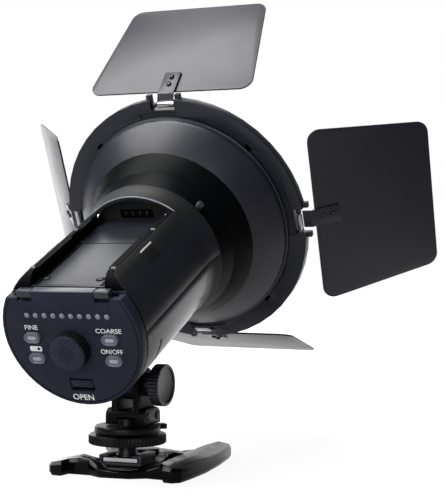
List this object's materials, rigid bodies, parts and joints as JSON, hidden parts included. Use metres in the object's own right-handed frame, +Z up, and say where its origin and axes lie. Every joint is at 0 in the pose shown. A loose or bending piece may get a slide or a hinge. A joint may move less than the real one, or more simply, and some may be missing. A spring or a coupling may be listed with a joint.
{
  "type": "led video light",
  "caption": "Round LED video light with barn doors, rear controls, open battery bay, tilt bracket on a shoe adapter and a low table stand.",
  "frame": {"origin": "on the table, under the middle of the adapter's stem, at the stand's flat underside", "axes": "+Z up, +Y the way the lamp points on its stand, +X to the lamp's right, the tilt axis is along X"},
  "size_m": [0.2424, 0.2329, 0.2459],
  "materials": {
    "housing": "satin",
    "panel": "satin",
    "satin_black": "satin",
    "gloss_black": "gloss",
    "sheet": "satin",
    "bright_metal": "polished",
    "dark_metal": "satin",
    "button_grey": "satin",
    "clear_lens": "frosted",
    "circuit_board": "matte",
    "white_board": "matte",
    "rubber": "matte"
  },
  "bodies": {
    "stand": {"stand_base": "gloss_black", "cold_shoe": "satin_black", "thread_insert": "bright_metal", "shoe_foot": "bright_metal", "adapter_disc": "satin_black"},
    "clamp_washer": {"foot_washer": "rubber"},
    "lock_wheel": {"lock_wheel": "satin_black"},
    "bracket": {"bracket_fork": "housing", "pivot_bolt": "dark_metal", "friction_washer": "rubber"},
    "tilt_knob": {"tilt_knob": "satin_black", "pivot_nut": "bright_metal"},
    "lamp": {"rear_cap": "panel", "lower_shell": "housing", "upper_shell": "housing", "battery_plate": "satin_black", "contact_block": "satin_black", "dial_encoder": "dark_metal", "indicator_light_pipe": "clear_lens", "control_board": "circuit_board", "driver_board": "circuit_board", "neck_cone": "satin_black", "receiver_window": "gloss_black", "head_bowl": "housing", "heat_sink": "dark_metal", "led_board": "white_board", "reflector_ring": "white_board", "diffuser_lens": "clear_lens", "front_bezel": "satin_black", "mount_saddle": "housing"},
    "catch": {"battery_catch": "button_grey", "open_slider": "housing"},
    "dial": {"dial": "satin_black"},
    "barn_door_ring": {"barn_door_ring": "satin_black", "hinge_pin_top": "dark_metal", "hinge_pin_right": "dark_metal", "hinge_pin_bottom": "dark_metal", "hinge_pin_left": "dark_metal"},
    "button_fine": {"button_fine": "button_grey"},
    "button_coarse": {"button_coarse": "button_grey"},
    "button_battery_check": {"button_battery_check": "button_grey"},
    "button_power": {"button_power": "button_grey"},
    "leaf_top": {"leaf_top": "sheet", "hinge_tab_top": "sheet", "hinge_barrel_top": "bright_metal"},
    "leaf_right": {"leaf_right": "sheet", "hinge_tab_right": "sheet", "hinge_barrel_right": "bright_metal"},
    "leaf_bottom": {"leaf_bottom": "sheet", "hinge_tab_bottom": "sheet", "hinge_barrel_bottom": "bright_metal"},
    "leaf_left": {"leaf_left": "sheet", "hinge_tab_left": "sheet", "hinge_barrel_left": "bright_metal"}
  },
  "joints": [
    {"name": "clamp_washer_slide", "type": "slide", "parent": "stand", "child": "clamp_washer", "axis": [0, 0, -1], "range_m": [0, 0.0036]},
    {"name": "lock_wheel_turn", "type": "hinge", "parent": "clamp_washer", "child": "lock_wheel", "pos_m": [0, 0, 0.0168], "axis": [0, 0, -1], "range_deg": [0, 1000]},
    {"name": "pan", "type": "hinge", "parent": "stand", "child": "bracket", "pos_m": [0, 0, 0.02345], "axis": [0, 0, 1], "continuous": true},
    {"name": "tilt", "type": "hinge", "parent": "bracket", "child": "lamp", "pos_m": [0, 0.006, 0.04333], "axis": [1, 0, 0], "range_deg": [-17.4, 35.5]},
    {"name": "tilt_knob_turn", "type": "hinge", "parent": "bracket", "child": "tilt_knob", "pos_m": [0.016, 0.006, 0.04333], "axis": [1, 0, 0], "range_deg": [0, 360]},
    {"name": "fine_press", "type": "slide", "parent": "lamp", "child": "button_fine", "axis": [0, 0.9105, 0.4136], "range_m": [0, 0.0009], "stiffness_N_per_m": 500, "springref_m": -0.0005},
    {"name": "coarse_press", "type": "slide", "parent": "lamp", "child": "button_coarse", "axis": [0, 0.9105, 0.4136], "range_m": [0, 0.0009], "stiffness_N_per_m": 500, "springref_m": -0.0005},
    {"name": "battery_check_press", "type": "slide", "parent": "lamp", "child": "button_battery_check", "axis": [0, 0.9105, 0.4136], "range_m": [0, 0.0009], "stiffness_N_per_m": 500, "springref_m": -0.0005},
    {"name": "power_press", "type": "slide", "parent": "lamp", "child": "button_power", "axis": [0, 0.9105, 0.4136], "range_m": [0, 0.0009], "stiffness_N_per_m": 500, "springref_m": -0.0005},
    {"name": "dial_turn", "type": "hinge", "parent": "lamp", "child": "dial", "pos_m": [0, -0.05633, 0.06419], "axis": [0, 0.9105, 0.4136], "continuous": true},
    {"name": "battery_release", "type": "slide", "parent": "lamp", "child": "catch", "axis": [0, 0.4136, -0.9105], "range_m": [0, 0.0018], "stiffness_N_per_m": 700, "springref_m": -0.001},
    {"name": "ring_turn", "type": "hinge", "parent": "lamp", "child": "barn_door_ring", "pos_m": [0, 0.06778, 0.12683], "axis": [0, 0.9105, 0.4136], "range_deg": [0, 18]},
    {"name": "leaf_top_swing", "type": "hinge", "parent": "barn_door_ring", "child": "leaf_top", "pos_m": [0.00039, 0.04032, 0.18728], "axis": [-1, -0.0025, 0.0054], "range_deg": [-58.2, 36.8]},
    {"name": "leaf_right_swing", "type": "hinge", "parent": "barn_door_ring", "child": "leaf_right", "pos_m": [0.0664, 0.06794, 0.12647], "axis": [0.0059, -0.4136, 0.9105], "range_deg": [-30.8, 64.2]},
    {"name": "leaf_bottom_swing", "type": "hinge", "parent": "barn_door_ring", "child": "leaf_bottom", "pos_m": [-0.00039, 0.09524, 0.06638], "axis": [1, 0.0025, -0.0054], "range_deg": [-49.2, 45.8]},
    {"name": "leaf_left_swing", "type": "hinge", "parent": "barn_door_ring", "child": "leaf_left", "pos_m": [-0.0664, 0.06761, 0.12719], "axis": [-0.0059, 0.4136, -0.9105], "range_deg": [-45.8, 49.2]}
  ]
}
